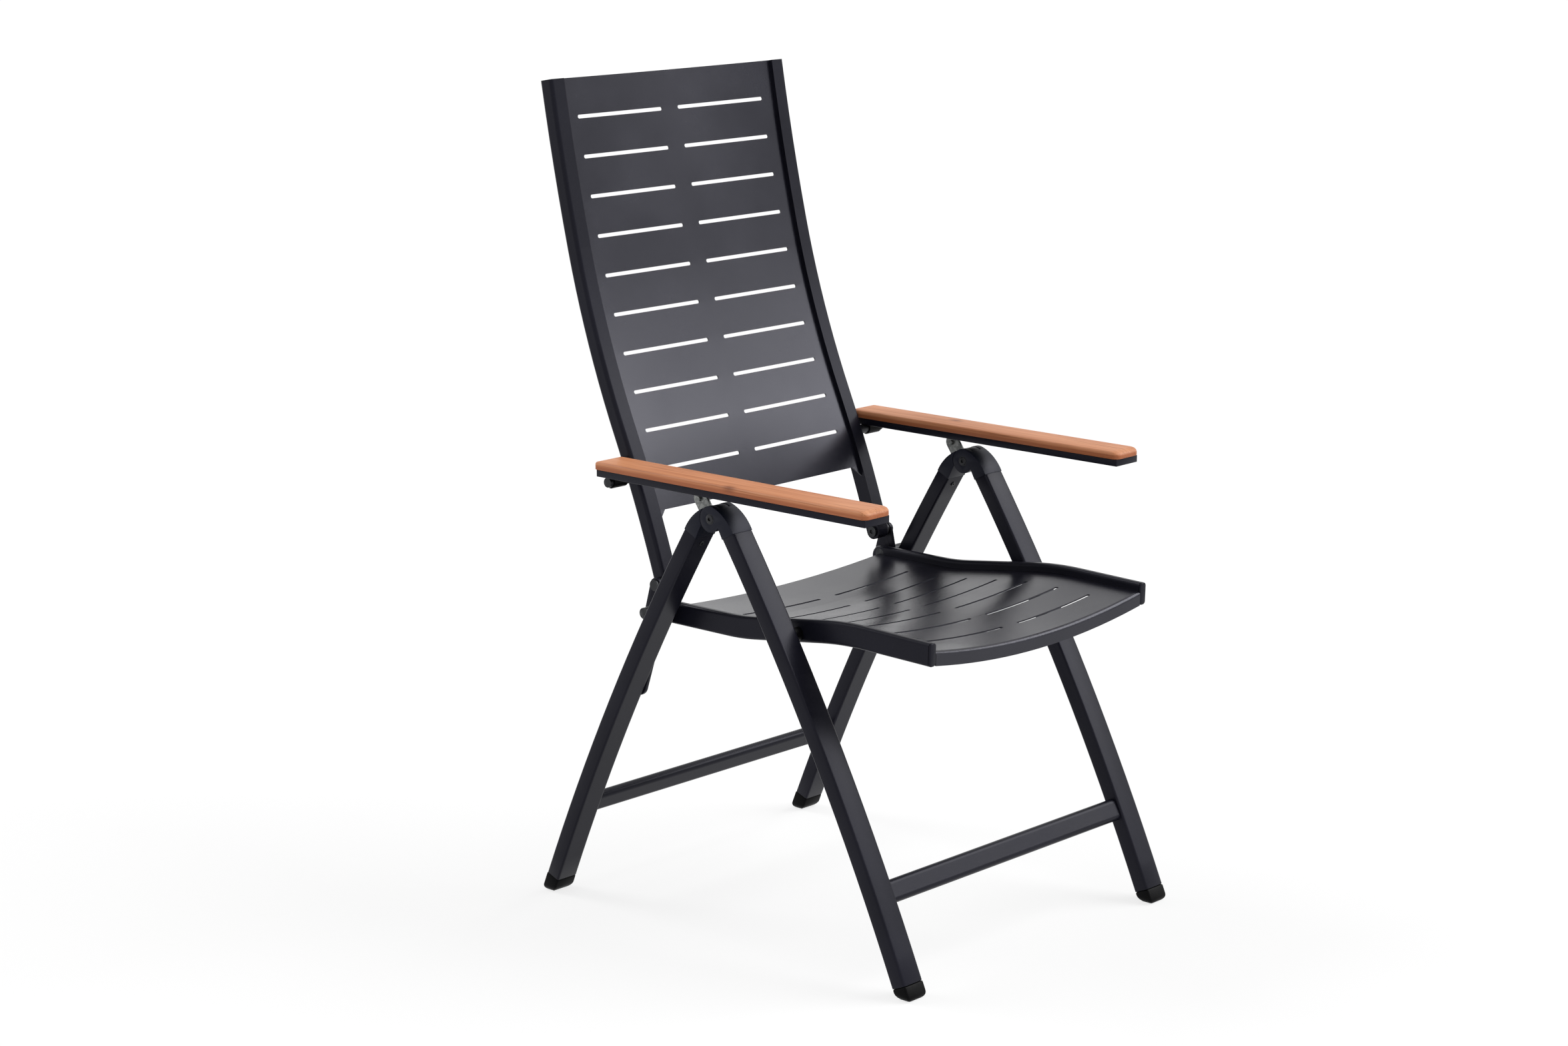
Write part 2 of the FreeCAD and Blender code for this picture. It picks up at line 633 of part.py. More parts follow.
def section(station, bow, half, thick):
    # A strip across the chair, its middle moved by a bow of depth and height.
    wire_points = []
    for layer in (0, thick):
        y, z = beside(station, layer)
        wire_points.append([vec(-half, y, z), vec(0, y + bow[0], z + bow[1]), vec(half, y, z)])
    first, second = wire_points
    return Part.Wire([
        Part.Arc(*first).toShape(),
        Part.LineSegment(first[2], second[2]).toShape(),
        Part.Arc(*second[::-1]).toShape(),
        Part.LineSegment(second[0], first[0]).toShape(),
    ])


def slot(station, sag, inner, outer, side):
    # A round ended slot through the sheet, on one side of the middle.
    width = size("slot_width")
    reach = abs(sag) + 4 * size("panel_thick")
    low, high = inner + width / 2, outer - width / 2
    bar = Part.makeBox(high - low, width, 2 * reach, vec(low, -width / 2, -reach))
    for end in (low, high):
        bar = bar.fuse(Part.makeCylinder(width / 2, 2 * reach, vec(end, 0, -reach)))
    bar = bar.removeSplitter()
    if side < 0:
        bar = bar.mirror(vec(0, 0, 0), vec(1, 0, 0))
    (y, z), angle = station
    bar.Placement = FreeCAD.Placement(vec(0, y, z), FreeCAD.Rotation(vec(1, 0, 0), angle))
    return bar


# Seat

RAIL_RUNS = [
    (size("rail_flat"), 0),
    (size("rail_bend"), -size("rail_slope")),
    (size("rail_rise"), 0),
    (size("rail_crown"), size("rail_slope") + size("rail_droop")),
    (size("rail_nose"), 0),
]
RAIL_START = (behind("rail_start_y"), above("rail_start_z"))
RAIL_BAR = RAIL_RUNS[:-1] + [(size("rail_nose") - size("rail_cap"), 0)]
FORWARD = 180
SEAT_STEPS = 8


def seat_rail(side_name, side):
    width = size("rail_width")
    x = span(size("rail_inner_x"), width, side)
    bar = strip(x, width, walk(RAIL_START, FORWARD, RAIL_BAR), size("rail_height"), True)
    bar = rounded_edges(bar, size("rail_edge"), along_piece)
    bore = size("pivot_radius") + size("pin_fit")
    bar = bar.cut(hole(bore, x, x + width, behind("seat_bolt_y"), above("seat_bolt_z")))
    inner = side * size("rail_inner_x")
    recess = size("head_radius") + size("pin_fit")
    bar = bar.cut(hole(recess, inner, inner + side * size("head_thick"), behind("seat_bolt_y"),
                       above("seat_bolt_z")))
    return feature(f"seat_rail_{side_name}", bar)


def rail_cap(side_name, side):
    front, angle = walk(RAIL_START, FORWARD, RAIL_BAR)[-1]
    x = span(size("rail_inner_x"), size("rail_width"), side)
    stations = walk(front, angle, [(size("rail_cap"), 0)])
    cap = strip(x, size("rail_width"), stations, size("rail_height"), False)

    def short(item):
        return max(item.BoundBox.XLength, item.BoundBox.ZLength) < size("rail_cap")

    return feature(f"seat_rail_cap_{side_name}", rounded_edges(cap, size("rail_edge"), short))


def seat_bush(side_name, side):
    bush = rod(f"seat_bush_{side_name}", "Dims.bush_radius", "Dims.rail_inner_x + Dims.rail_width",
               "Dims.leg_inner_x - Dims.collar_gap", "bush", side)
    return keep(bush, f"seat_bush_{side_name}")


def seat_outline(x, stations, sags):
    # The sheet's outline in the side view, lower towards the middle of the chair.
    low = 1 - (x / size("rail_inner_x")) ** 2
    layers = []
    for layer in (0, size("panel_thick")):
        points = []
        for station, sag in zip(stations, sags):
            y, z = beside(station, layer)
            points.append((y, z - sag * low))
        layers.append(points)
    top, under = layers
    edges = [edge(x, *top[index:index + 3]) for index in range(0, len(top) - 2, 2)]
    edges.append(Part.LineSegment(vec(x, *top[-1]), vec(x, *under[-1])).toShape())
    under = under[::-1]
    edges += [edge(x, *under[index:index + 3]) for index in range(0, len(under) - 2, 2)]
    edges.append(Part.LineSegment(vec(x, *under[-1]), vec(x, *top[0])).toShape())
    return Part.Wire(edges)


def seat_panel():
    runs = RAIL_RUNS[:-1] + [(size("rail_nose") - size("apron_radius"), 0)]
    flat = sum(length for length, _ in runs)
    runs += [(size("apron_radius") * math.pi / 2, 90), (size("apron_drop"), 0)]
    start = (RAIL_START[0], RAIL_START[1] + size("seat_edge_lift"))

    def sag_at(mark):
        share = min(mark / flat, 1)
        return size("seat_sag_rear") + (size("seat_sag_front") - size("seat_sag_rear")) * share

    stations = walk(start, FORWARD, runs)
    marks = [0]
    for length, _ in runs:
        marks += [marks[-1] + length / 2, marks[-1] + length]
    sags = [sag_at(mark) for mark in marks]
    half = size("rail_inner_x")
    wires = []
    for step in range(SEAT_STEPS + 1):
        wires.append(seat_outline(half * (2 * step / SEAT_STEPS - 1), stations, sags))
    slots = []
    for row in range(int(size("seat_rows"))):
        mark = size("seat_slot_first") + row * size("seat_slot_pitch")
        station = part_way(start, FORWARD, runs, mark)
        for _, side in SIDES:
            slots.append(slot(station, sag_at(mark), size("slot_inner"), size("seat_slot_outer"), side))
    return feature("seat_panel", Part.makeLoft(wires, True, False).cut(slots))


# Back

BACK_RUNS = [
    (size("back_low"), size("back_lean_low") - size("back_lean_mid")),
    (size("back_mid"), size("back_lean_mid") - size("back_lean_high")),
    (size("back_high"), size("back_lean_high") - size("back_lean_top")),
]
BACK_START = (behind("back_bolt_y"), above("back_bolt_z"))
BACK_HEADING = 90 - size("back_lean_low")


BACK_SHEET_RUNS = BACK_RUNS + [(size("back_cap"), 0)]
BACK_STEPS = 22


def stile_bar(stations, side, round_start):
    # A bar in line with the stile, with its outer edges rounded.
    width, depth = size("stile_width"), size("stile_depth")
    bar = strip(span(size("stile_inner_x"), width, side), width, stations, depth, round_start)
    outer_x = side * (size("stile_inner_x") + width)
    corners = []
    for station in stations[1::2]:
        for half in (-depth / 2, depth / 2):
            corners.append(Part.Vertex(vec(outer_x, *beside(station, half))))

    def outer_edge(item):
        return any(item.distToShape(corner)[0] < TINY for corner in corners)

    return rounded_edges(bar, size("stile_round"), outer_edge)


def back_stile(side_name, side):
    width = size("stile_width")
    x = span(size("stile_inner_x"), width, side)
    bar = stile_bar(walk(BACK_START, BACK_HEADING, BACK_RUNS), side, True)
    bore = size("pivot_radius") + size("pin_fit")
    bar = bar.cut(hole(bore, x, x + width, *BACK_START))
    bar = bar.cut(hole(bore, x, x + width, behind("bar_y"), above("bar_z")))
    return feature(f"back_stile_{side_name}", bar)


def back_cap(side_name, side):
    top, angle = walk(BACK_START, BACK_HEADING, BACK_RUNS)[-1]
    cap = stile_bar(walk(top, angle, [(size("back_cap"), 0)]), side, False)
    return feature(f"back_cap_{side_name}", cap)


def back_sheet_station(mark):
    point, angle = part_way(BACK_START, BACK_HEADING, BACK_SHEET_RUNS, mark)
    return beside((point, angle), size("back_sheet_front")), angle


def back_panel():
    length = sum(run for run, _ in BACK_SHEET_RUNS)
    start = size("back_sheet_start")
    marks = [start + (length - start) * step / BACK_STEPS for step in range(BACK_STEPS + 1)]

    def dish_at(mark):
        share = 2 * (mark - start) / (length - start) - 1
        return -size("back_dish") - size("back_dish_ends") * share ** 2

    slots = []
    for row in range(int(size("back_rows"))):
        mark = length - size("back_slot_first") - row * size("back_slot_pitch")
        for _, side in SIDES:
            slots.append(slot(back_sheet_station(mark), dish_at(mark), size("slot_inner"),
                              size("back_slot_outer"), side))
    stations = [back_sheet_station(mark) for mark in marks]
    bows = []
    for mark, (_, angle) in zip(marks, stations):
        bows.append(beside(((0, 0), angle), dish_at(mark)))
    wires = []
    for station, bow in zip(stations, bows):
        wires.append(section(station, bow, size("stile_inner_x"), -size("panel_thick")))
    return feature("back_panel", Part.makeLoft(wires, True, False).cut(slots))


def back_gusset(side_name, side):
    # A small corner plate between the stile and the sheet's lower edge.
    (y, z), angle = back_sheet_station(size("back_sheet_start"))
    reach, thick = size("gusset_size"), size("panel_thick")
    inner = size("stile_inner_x")
    corners = [vec(side * inner, 0, 0), vec(side * (inner - reach), 0, 0), vec(side * inner, -reach, 0)]
    wire = Part.makePolygon(corners + corners[:1])
    plate = Part.Face(wire).extrude(vec(0, 0, -thick))
    place = FreeCAD.Placement(vec(0, y, z), FreeCAD.Rotation(vec(1, 0, 0), angle))
    return feature(f"back_gusset_{side_name}", plate, place)


# Armrests

def arm_front():
    return behind("bar_y") + size("arm_tail") - size("arm_length")


def arm_wood(side_name, side):
    label = f"armrest_wood_{side_name}"
    body = doc.addObject("PartDesign::Body", f"{label}_body")
    sketch = body.newObject("Sketcher::SketchObject", f"{label}_outline")
    plane = [item for item in body.Origin.OriginFeatures if item.Role == "XY_Plane"][0]
    sketch.AttachmentSupport = (plane, [""])
    sketch.MapMode = "FlatFace"
    rectangle(sketch, size("arm_width"), size("arm_length"), "Dims.arm_width", "Dims.arm_length")
    pad = body.newObject("PartDesign::Pad", f"{label}_pad")
    pad.Profile = sketch
    pad.setExpression("Length", "Dims.arm_wood")
    doc.recompute()
    corners = []
    for index, item in enumerate(pad.Shape.Edges, 1):
        upright = item.BoundBox.ZLength > size("arm_wood") / 2
        if upright and item.BoundBox.YMax < 0:
            corners.append(f"Edge{index}")
    nose = body.newObject("PartDesign::Fillet", f"{label}_nose")
    nose.Base = (pad, corners)
    nose.setExpression("Radius", "Dims.arm_corner")
    body.Tip = nose
    doc.recompute()
    rim = []
    for index, item in enumerate(nose.Shape.Edges, 1):
        if item.BoundBox.ZMin > size("arm_wood") / 2:
            rim.append(f"Edge{index}")
    rounding = body.newObject("PartDesign::Fillet", f"{label}_rounding")
    rounding.Base = (nose, rim)
    rounding.setExpression("Radius", "Dims.arm_round")
    body.Tip = rounding
    middle = side * (size("arm_inner_x") + size("arm_width") / 2)
    body.Placement = FreeCAD.Placement(
        vec(middle, arm_front() + size("arm_length") / 2, above("arm_wood_z")), FreeCAD.Rotation())
    return keep(body, label)


CHANNEL_WIDTH = "Dims.arm_width - 2 * Dims.channel_inset"
CHANNEL_LENGTH = "Dims.arm_length - 2 * Dims.channel_inset"


def arm_channel(side_name, side):
    # A channel under the wood, open below, with closed ends.
    label = f"armrest_channel_{side_name}"
    inset, wall, height = size("channel_inset"), size("channel_wall"), size("channel_height")
    width = size("arm_width") - 2 * inset
    x = span(size("arm_inner_x") + inset, width, side)
    y = arm_front() + inset
    z = above("arm_wood_z") - height
    outer = box(f"{label}_outer", CHANNEL_WIDTH, CHANNEL_LENGTH, "Dims.channel_height",
                FreeCAD.Placement(vec(x, y, z), FreeCAD.Rotation()))
    inner = box(f"{label}_inner", f"{CHANNEL_WIDTH} - 2 * Dims.channel_wall",
                f"{CHANNEL_LENGTH} - 2 * Dims.channel_wall", "Dims.channel_height",
                FreeCAD.Placement(vec(x + wall, y + wall, z - wall), FreeCAD.Rotation()))
    return keep(cut(label, outer, inner), label)


def ceiling():
    return above("arm_wood_z") - size("channel_wall")


def arm_rack(side_name, side):
    # The notched strip that drops over the prop plate.
    width = size("rack_width")
    middle = side * (size("plate_inner_x") + size("plate_thick") / 2)
    length = size("rack_pitch") * size("rack_notches")
    low = above("plate_pin_z") + size("plate_width") / 2 + size("rack_gap")
    rear = behind("bar_y") - size("rack_start")
    strip_bar = Part.makeBox(width, length, ceiling() - low, vec(middle - width / 2, rear - length, low))
    for index in range(int(size("rack_notches"))):
        y = rear - size("rack_pitch") * (index + 0.5)
        strip_bar = strip_bar.cut(hole(size("rack_notch"), middle - width / 2, middle + width / 2, y, low))
    return feature(f"armrest_rack_{side_name}", strip_bar)


def arm_bearing(side_name, side):
    # The lug in the rear of the channel that turns on the arm bar, rounded about it.
    inset = size("channel_inset") + size("channel_wall") + size("bearing_inset")
    width = size("arm_width") - 2 * inset
    x = span(size("arm_inner_x") + inset, width, side)
    length = size("bearing_length")
    y, z = behind("bar_y"), above("bar_z")
    block = Part.makeBox(width, length, ceiling() - z, vec(x, y - length / 2, z))
    lug = block.fuse(hole(length / 2, x, x + width, y, z)).removeSplitter()
    lug = lug.cut(hole(size("bar_radius") + size("pin_fit"), x, x + width, y, z))
    return feature(f"armrest_bearing_{side_name}", lug)


def arm_bar(side_name, side):
    # The bar from the stile that carries the rear of the armrest.
    stile_outer = "Dims.stile_inner_x + Dims.stile_width"
    steps = [
        ("Dims.stile_inner_x", f"{stile_outer} + Dims.collar_gap", "Dims.pivot_radius"),
        (f"{stile_outer} + Dims.collar_gap", "Dims.bar_end_x", "Dims.bar_radius"),
    ]
    bar = turned(f"arm_bar_{side_name}", "bar", side, steps)
    return keep(bar, f"arm_bar_{side_name}")


for frame, way in FRAMES:
    cross_rail(frame, way)
    for side_name, side in SIDES:
        leg_tube(frame, way, side_name, side)
        foot_cap(frame, way, side_name, side)
for side_name, side in SIDES:
    front_knuckle(side_name, side)
    rear_knuckle(side_name, side, prop_plate(side_name, side))
    knuckle_bolt(side_name, side)
    prop_pin(side_name, side)
    link_plate(side_name, side)
    link_pin(side_name, side)
    seat_rail(side_name, side)
    rail_cap(side_name, side)
    seat_bolt(side_name, side)
    seat_bush(side_name, side)
    back_stile(side_name, side)
    back_cap(side_name, side)
    back_gusset(side_name, side)
    back_bolt(side_name, side)
    arm_bar(side_name, side)
    arm_wood(side_name, side)
    arm_channel(side_name, side)
    arm_rack(side_name, side)
    arm_bearing(side_name, side)
seat_panel()
back_panel()
doc.recompute()

for obj in doc.Objects:
    if "Invalid" in obj.State or "Error" in obj.State:
        raise RuntimeError(f"{obj.Label} did not recompute: {obj.State}")
for node in nodes:
    if node.Shape.isNull() or not node.Shape.isValid() or len(node.Shape.Solids) != 1:
        raise RuntimeError(f"{node.Label} is not one valid solid")
os.makedirs("parts", exist_ok=True)
for node in nodes:
    node.Shape.exportStep(f"parts/{node.Label}.step")
print(len(nodes), "sub-parts written")
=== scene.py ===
import json
import math
import bpy
from mathutils import Matrix, Vector


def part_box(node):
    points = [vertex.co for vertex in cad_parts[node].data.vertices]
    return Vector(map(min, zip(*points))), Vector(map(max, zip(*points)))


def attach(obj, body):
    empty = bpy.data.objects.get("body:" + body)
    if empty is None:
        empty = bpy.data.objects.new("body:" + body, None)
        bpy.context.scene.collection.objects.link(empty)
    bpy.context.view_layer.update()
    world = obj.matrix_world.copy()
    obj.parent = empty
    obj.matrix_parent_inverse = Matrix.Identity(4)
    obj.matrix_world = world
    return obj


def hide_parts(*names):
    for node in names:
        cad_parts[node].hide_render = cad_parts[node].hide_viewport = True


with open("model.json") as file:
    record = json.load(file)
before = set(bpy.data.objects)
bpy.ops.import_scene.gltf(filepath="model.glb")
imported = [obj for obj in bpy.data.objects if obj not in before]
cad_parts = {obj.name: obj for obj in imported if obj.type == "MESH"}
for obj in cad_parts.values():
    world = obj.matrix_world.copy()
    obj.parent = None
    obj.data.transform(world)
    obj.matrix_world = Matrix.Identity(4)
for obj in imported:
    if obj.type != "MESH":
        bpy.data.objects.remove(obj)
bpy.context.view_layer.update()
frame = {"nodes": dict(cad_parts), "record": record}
nodes = frame["nodes"]
print("frame loaded:", len(nodes), "nodes")


# shader maths

class Wire:
    def __init__(self, graph, socket):
        self.graph = graph
        self.socket = socket

    def __add__(self, other):
        return self.graph.maths("ADD", self, other)

    def __radd__(self, other):
        return self.graph.maths("ADD", other, self)

    def __rsub__(self, other):
        return self.graph.maths("SUBTRACT", other, self)

    def __mul__(self, other):
        return self.graph.maths("MULTIPLY", self, other)


class Graph:
    def __init__(self, tree):
        self.tree = tree

    def node(self, kind, settings, inputs, output=0):
        made = self.tree.nodes.new(kind)
        for key, value in settings.items():
            setattr(made, key, value)
        for key, value in inputs.items():
            if isinstance(value, Wire):
                self.tree.links.new(value.socket, made.inputs[key])
            else:
                made.inputs[key].default_value = value
        return Wire(self, made.outputs[output]) if made.outputs else None

    def maths(self, operation, first, second):
        return self.node("ShaderNodeMath", {"operation": operation}, {0: first, 1: second})

    def vectors(self, operation, inputs, output=0):
        return self.node("ShaderNodeVectorMath", {"operation": operation}, inputs, output)

    def spot(self):
        return self.node("ShaderNodeTexCoord", {}, {}, "Object")

    def place(self, scale=(1, 1, 1)):
        return self.node("ShaderNodeMapping", {}, {"Vector": self.spot(), "Scale": scale})

    def noise(self, where, scale, detail=3.0, rough=0.5, distort=0.0):
        return self.node("ShaderNodeTexNoise", {}, {"Vector": where, "Scale": scale, "Detail": detail,
                                                    "Roughness": rough, "Distortion": distort})

    def ramp(self, value, low, high):  # a soft step from 0 to 1
        return self.node("ShaderNodeMapRange", {"interpolation_type": "SMOOTHSTEP"},
                         {"Value": value, "From Min": low, "From Max": high})

    def blend(self, factor, first, second):
        return self.node("ShaderNodeMix", {"data_type": "RGBA"}, {0: factor, 6: first, 7: second}, 2)

    def bump(self, height, strength, distance):
        return self.node("ShaderNodeBump", {},
                         {"Height": height, "Strength": strength, "Distance": distance})


def colour(red, green, blue):  # an sRGB colour, 0 to 255, as linear light
    channels = []
    for part in (red, green, blue):
        part /= 255
        channels.append(part / 12.92 if part <= 0.04045 else ((part + 0.055) / 1.055) ** 2.4)
    return (*channels, 1.0)


def newMaterial(name):
    material = bpy.data.materials.new(name)
    material.use_nodes = True
    material.node_tree.nodes.clear()
    return material, Graph(material.node_tree)


def finishMaterial(material, graph, inputs):
    shader = graph.node("ShaderNodeBsdfPrincipled", {}, inputs)
    graph.node("ShaderNodeOutputMaterial", {}, {"Surface": shader})
    return material


# materials

frameCoat = {"name": "frameCoat", "base": (18, 18, 26), "pale": (24, 24, 33), "rough": 0.26, "shine": 0.14,
             "grain": 1500.0}
sheetCoat = {"name": "sheetCoat", "base": (18, 18, 26), "pale": (25, 25, 33), "rough": 0.18, "shine": 0.36,
             "grain": 1500.0}
knuckleCoat = {"name": "knuckleCoat", "base": (12, 15, 26), "pale": (18, 21, 33), "rough": 0.34,
               "shine": 0.18, "grain": 1700.0}
coatLook = {"clouds": 9.0, "dust": 380.0, "dustTone": (90, 90, 94), "sheen": (0.86, 0.86, 1.0, 1.0)}


def powderCoat(look):
    material, graph = newMaterial(look["name"])
    spot = graph.place()
    cloudy = graph.ramp(graph.noise(spot, coatLook["clouds"], detail=4.0), low=0.35, high=0.7)
    peel = graph.noise(spot, look["grain"], detail=2.0, rough=0.55)
    dust = graph.ramp(graph.noise(spot, coatLook["dust"], detail=5.0, rough=0.65), low=0.55, high=0.85)
    tone = graph.blend(cloudy * 0.8, colour(*look["base"]), colour(*look["pale"]))
    tone = graph.blend(dust * 0.1, tone, colour(*coatLook["dustTone"]))
    rough = look["rough"] + cloudy * 0.05 + peel * 0.06
    relief = graph.bump(peel, strength=0.2, distance=0.0003)
    return finishMaterial(material, graph, {
        "Base Color": tone, "Roughness": rough, "Normal": relief,
        "Specular IOR Level": look["shine"], "Specular Tint": coatLook["sheen"]})


zincCoat = {"name": "zincCoat", "dark": (104, 106, 105), "pale": (150, 152, 150), "spangle": 260.0,
            "wobble": 120.0, "metal": 0.75}


def galvanised(look):
    material, graph = newMaterial(look["name"])
    spot = graph.place()
    wobble = graph.noise(spot, look["wobble"])
    cells = graph.node("ShaderNodeTexVoronoi", {"feature": "F1"},
                       {"Vector": spot, "Scale": look["spangle"]}, "Color")
    grey = graph.node("ShaderNodeSeparateColor", {}, {"Color": cells}, "Red")
    mottle = graph.ramp(grey * 0.6 + wobble * 0.5, low=0.25, high=0.85)
    tone = graph.blend(mottle, colour(*look["dark"]), colour(*look["pale"]))
    rough = 0.42 + mottle * 0.14
    relief = graph.bump(mottle, strength=0.15, distance=0.0004)
    return finishMaterial(material, graph, {
        "Base Color": tone, "Metallic": look["metal"], "Roughness": rough, "Normal": relief})


darkSteel = {"name": "darkSteel", "base": (38, 39, 42), "pale": (64, 65, 68), "turning": 900.0,
             "wear": 140.0, "metal": 0.6}


def blackened(look):
    material, graph = newMaterial(look["name"])
    spot = graph.place()
    turned = graph.noise(spot, look["turning"], rough=0.6)
    worn = graph.ramp(graph.noise(spot, look["wear"], detail=4.0), low=0.52, high=0.78)
    tone = graph.blend(worn, colour(*look["base"]), colour(*look["pale"]))
    rough = 0.34 + turned * 0.16
    relief = graph.bump(turned, strength=0.12, distance=0.0002)
    return finishMaterial(material, graph, {
        "Base Color": tone, "Metallic": look["metal"], "Roughness": rough, "Normal": relief})


capPlastic = {"name": "capPlastic", "base": (7, 7, 8), "pale": (13, 13, 15), "shine": 0.06, "grain": 1100.0,
              "scuffs": 90.0}


def mouldedPlastic(look):
    material, graph = newMaterial(look["name"])
    spot = graph.place()
    grain = graph.noise(spot, look["grain"], detail=2.0)
    scuff = graph.ramp(graph.noise(spot, look["scuffs"], detail=5.0, rough=0.6), low=0.5, high=0.8)
    tone = graph.blend(scuff * 0.7, colour(*look["base"]), colour(*look["pale"]))
    rough = 0.38 + scuff * 0.15 + grain * 0.06
    relief = graph.bump(grain, strength=0.2, distance=0.0003)
    return finishMaterial(material, graph, {
        "Base Color": tone, "Roughness": rough, "Normal": relief, "Specular IOR Level": look["shine"]})


# the side colour is painted shade, laid on the wood below the top face
armTimber = {"name": "armTimber", "pale": (215, 150, 109), "mid": (184, 114, 73), "dark": (108, 56, 30),
             "side": (150, 78, 38), "paintedShadeBelow": 0.6125, "paintedShadeSoft": 0.004, "shine": 0.28,
             "knots": [(-0.277, -0.045, 0.613), (0.262, 0.03, 0.615)], "knotSize": 0.011,
             "knotCore": 0.001, "knotStretch": (1.0, 0.5, 1.0)}
woodGrain = {  # each layer drawn out front to back
    "drift": {"stretch": (1.0, 0.22, 1.0), "scale": 13.0, "detail": 3.0, "rough": 0.55, "distort": 0.3},
    "broad": {"stretch": (1.0, 0.03, 1.0), "scale": 95.0, "detail": 4.0, "rough": 0.6, "distort": 0.25},
    "fine": {"stretch": (1.0, 0.012, 1.0), "scale": 520.0, "detail": 3.0, "rough": 0.65, "distort": 0.0},
}


def grainLayer(graph, layer):
    return graph.noise(graph.place(layer["stretch"]), layer["scale"], layer["detail"], layer["rough"],
                       layer["distort"])


def oiledWood(look):
    material, graph = newMaterial(look["name"])
    spot = graph.spot()
    dark = colour(*look["dark"])
    drift, broad, fine = (grainLayer(graph, woodGrain[name]) for name in ("drift", "broad", "fine"))
    bands = graph.ramp(broad * 0.7 + drift * 0.5, low=0.38, high=0.86)
    lines = graph.ramp(fine, low=0.5, high=0.74)
    # painted shade mask: 1 on the top face, falling to 0 down the sides
    height = graph.node("ShaderNodeSeparateXYZ", {}, {"Vector": spot}, "Z")
    top = graph.ramp(height, low=look["paintedShadeBelow"] - look["paintedShadeSoft"], high=look["paintedShadeBelow"])
    tone = graph.blend(bands, colour(*look["pale"]), colour(*look["mid"]))
    tone = graph.blend((1 - top) * 0.8, tone, colour(*look["side"]))  # painted shade: the sides darker and browner than the top, as if in shade
    tone = graph.blend(lines * 0.5, tone, dark)
    knot = 0.0
    for centre in look["knots"]:  # a dark eye drawn out along the grain
        away = graph.vectors("SUBTRACT", {0: spot, 1: centre})
        away = graph.vectors("MULTIPLY", {0: away, 1: look["knotStretch"]})
        far = graph.vectors("LENGTH", {0: away}, "Value")
        knot = knot + (1 - graph.ramp(far + broad * 0.004, low=look["knotCore"], high=look["knotSize"]))
    tone = graph.blend(knot * 0.8, tone, dark)
    rough = 0.44 + lines * 0.12 + drift * 0.08
    relief = graph.bump(fine * 0.7 + lines * 0.3, strength=0.16, distance=0.0003)
    return finishMaterial(material, graph, {
        "Base Color": tone, "Roughness": rough, "Normal": relief, "Specular IOR Level": look["shine"]})


finishes = {
    "frame_coat": powderCoat(frameCoat),
    "sheet_coat": powderCoat(sheetCoat),
    "knuckle_coat": powderCoat(knuckleCoat),
    "galvanised": galvanised(zincCoat),
    "dark_steel": blackened(darkSteel),
    "plastic": mouldedPlastic(capPlastic),
    "timber": oiledWood(armTimber),
}
slotOf = {entry["node"]: entry["material_slot"] for entry in frame["record"]["subparts"]}
for node, slot in slotOf.items():
    nodes[node].data.materials.clear()
    nodes[node].data.materials.append(finishes[slot])
print("materials:", len(finishes))


# shaping tools

bodyOf = {node: body for body, group in frame["record"]["behaviour"]["bodies"].items() for node in group}
sides = {"left": 1, "right": -1}
near = 1e-5  # closer than this is the same place


def alone(piece):  # the only thing selected
    bpy.ops.object.select_all(action="DESELECT")
    piece.select_set(True)
    bpy.context.view_layer.objects.active = piece


def intoMesh(piece):  # its place, turn and size
    alone(piece)
    bpy.ops.object.transform_apply(location=True, rotation=True, scale=True)


def block(name, size, centre):  # a box to shape further
    bpy.ops.object.select_all(action="DESELECT")
    bpy.ops.mesh.primitive_cube_add(size=1, location=centre)
    piece = bpy.context.object
    piece.name = name
    piece.scale = size
    intoMesh(piece)
    return piece


def runs(way, axis):  # nearly along x, y or z
    return abs(getattr(way, axis)) > 0.9


def roundEdges(piece, width, segments, wanted, sharpest=None):  # picked by their middle and direction
    alone(piece)
    bpy.ops.object.mode_set(mode="EDIT")
    bpy.ops.mesh.select_mode(type="EDGE")
    bpy.ops.mesh.select_all(action="DESELECT")
    if sharpest:
        bpy.ops.mesh.edges_select_sharp(sharpness=math.radians(sharpest))
    bpy.ops.object.mode_set(mode="OBJECT")
    spots = piece.data.vertices
    for edge in piece.data.edges:
        start, end = (spots[index].co for index in edge.vertices)
        fits = wanted((start + end) / 2, (end - start).normalized())
        edge.select = fits and (edge.select or not sharpest)
    bpy.ops.object.mode_set(mode="EDIT")
    bpy.ops.mesh.bevel(offset=width, segments=segments, profile=0.5, affect="EDGES")
    bpy.ops.object.mode_set(mode="OBJECT")


def cutAcross(piece, spots, normal):  # new edges across the mesh
    alone(piece)
    bpy.ops.object.mode_set(mode="EDIT")
    for spot in spots:
        bpy.ops.mesh.select_all(action="SELECT")
        bpy.ops.mesh.bisect(plane_co=spot, plane_no=normal)
    bpy.ops.object.mode_set(mode="OBJECT")


def copyOf(piece, name, shift=(0, 0, 0)):
    alone(piece)
    bpy.ops.object.duplicate()
    twin = bpy.context.object
    twin.name = name
    twin.location = shift
    intoMesh(twin)
    return twin


def dress(piece, node, stands=True, angle=32):  # smooth, coat, and tie to the node's body
    alone(piece)
    bpy.ops.object.shade_smooth_by_angle(angle=math.radians(angle))
    piece.data.materials.clear()
    piece.data.materials.append(finishes[slotOf[node]])
    if stands:
        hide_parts(node)
    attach(piece, bodyOf[node])


# legs with a crowned outward face, and their feet

